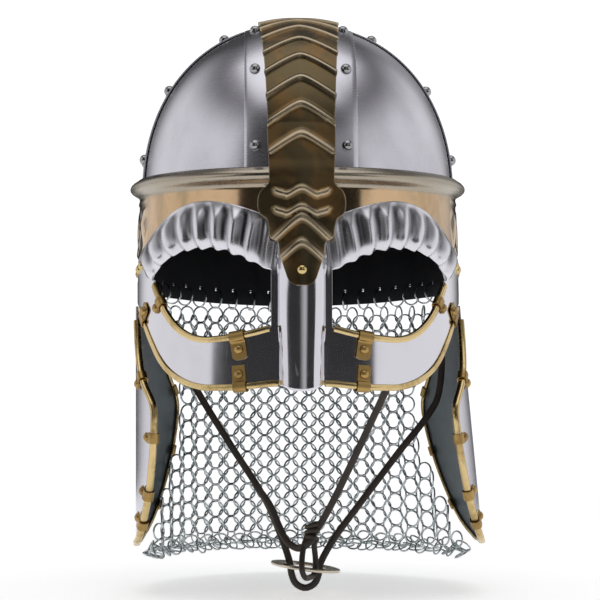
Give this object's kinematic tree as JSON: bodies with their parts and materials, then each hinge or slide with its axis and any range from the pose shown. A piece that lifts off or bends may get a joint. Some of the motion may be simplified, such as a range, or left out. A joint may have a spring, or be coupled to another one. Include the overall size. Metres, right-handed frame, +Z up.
{
  "type": "spectacle helmet",
  "caption": "Banded steel helmet with a brass crest and brow band, a fluted face guard with two eye openings, hinged cheek plates, a mail curtain and a leather chin strap.",
  "frame": {"origin": "middle of the bowl's rim, on the level where the bowl ends above the ears", "axes": "+Z up through the crown, the face looks along -Y, +X on the right of someone who faces the helmet"},
  "size_m": [0.2275, 0.2539, 0.3635],
  "materials": {
    "brushed_steel": "brushed",
    "polished_steel": "polished",
    "steel_rivets": "satin",
    "antique_brass": "antique satin",
    "brass_fittings": "satin",
    "zinc_mail": "zinc plated",
    "brown_leather": "waxed"
  },
  "bodies": {
    "helmet": {"brow_band": "antique_brass", "crest": "antique_brass", "cross_band_left": "brushed_steel", "cross_band_right": "brushed_steel", "cross_rivet_front_1": "steel_rivets", "cross_rivet_front_2": "steel_rivets", "cross_rivet_front_3": "steel_rivets", "cross_rivet_front_4": "steel_rivets", "cross_rivet_front_5": "steel_rivets", "cross_rivet_front_6": "steel_rivets", "cross_rivet_rear_1": "steel_rivets", "cross_rivet_rear_2": "steel_rivets", "cross_rivet_rear_3": "steel_rivets", "cross_rivet_rear_4": "steel_rivets", "cross_rivet_rear_5": "steel_rivets", "cross_rivet_rear_6": "steel_rivets", "eye_clip_left": "brass_fittings", "eye_clip_right": "brass_fittings", "eye_end_clip_left": "brass_fittings", "eye_end_clip_right": "brass_fittings", "eye_trim_left": "brass_fittings", "eye_trim_right": "brass_fittings", "hinge_leaf_left": "brass_fittings", "hinge_leaf_right": "brass_fittings", "jaw_clip_left": "brass_fittings", "jaw_clip_right": "brass_fittings", "jaw_end_clip_left": "brass_fittings", "jaw_end_clip_right": "brass_fittings", "jaw_trim_left": "brass_fittings", "jaw_trim_right": "brass_fittings", "long_band": "brushed_steel", "long_rivet_left_1": "steel_rivets", "long_rivet_left_2": "steel_rivets", "long_rivet_left_3": "steel_rivets", "long_rivet_left_4": "steel_rivets", "long_rivet_left_5": "steel_rivets", "long_rivet_left_6": "steel_rivets", "long_rivet_right_1": "steel_rivets", "long_rivet_right_2": "steel_rivets", "long_rivet_right_3": "steel_rivets", "long_rivet_right_4": "steel_rivets", "long_rivet_right_5": "steel_rivets", "long_rivet_right_6": "steel_rivets", "long_strap": "brown_leather", "mail_curtain": "zinc_mail", "nose_rivet": "brass_fittings", "short_strap": "brown_leather", "skull_plate_front_left": "brushed_steel", "skull_plate_front_right": "brushed_steel", "skull_plate_rear_left": "brushed_steel", "skull_plate_rear_right": "brushed_steel", "spectacle_guard": "polished_steel", "strap_ring": "brass_fittings"},
    "cheek_left": {"cheek_plate_left": "brushed_steel", "cheek_trim_left": "brass_fittings", "cheek_leaf_left": "brass_fittings"},
    "cheek_right": {"cheek_plate_right": "brushed_steel", "cheek_trim_right": "brass_fittings", "cheek_leaf_right": "brass_fittings"}
  },
  "joints": [
    {"name": "cheek_left_hinge", "type": "hinge", "parent": "helmet", "child": "cheek_left", "pos_m": [-0.0978, 0, -0.0038], "axis": [0, 1, 0], "range_deg": [0, 60]},
    {"name": "cheek_right_hinge", "type": "hinge", "parent": "helmet", "child": "cheek_right", "pos_m": [0.0978, 0, -0.0038], "axis": [0, -1, 0], "range_deg": [0, 60]}
  ]
}
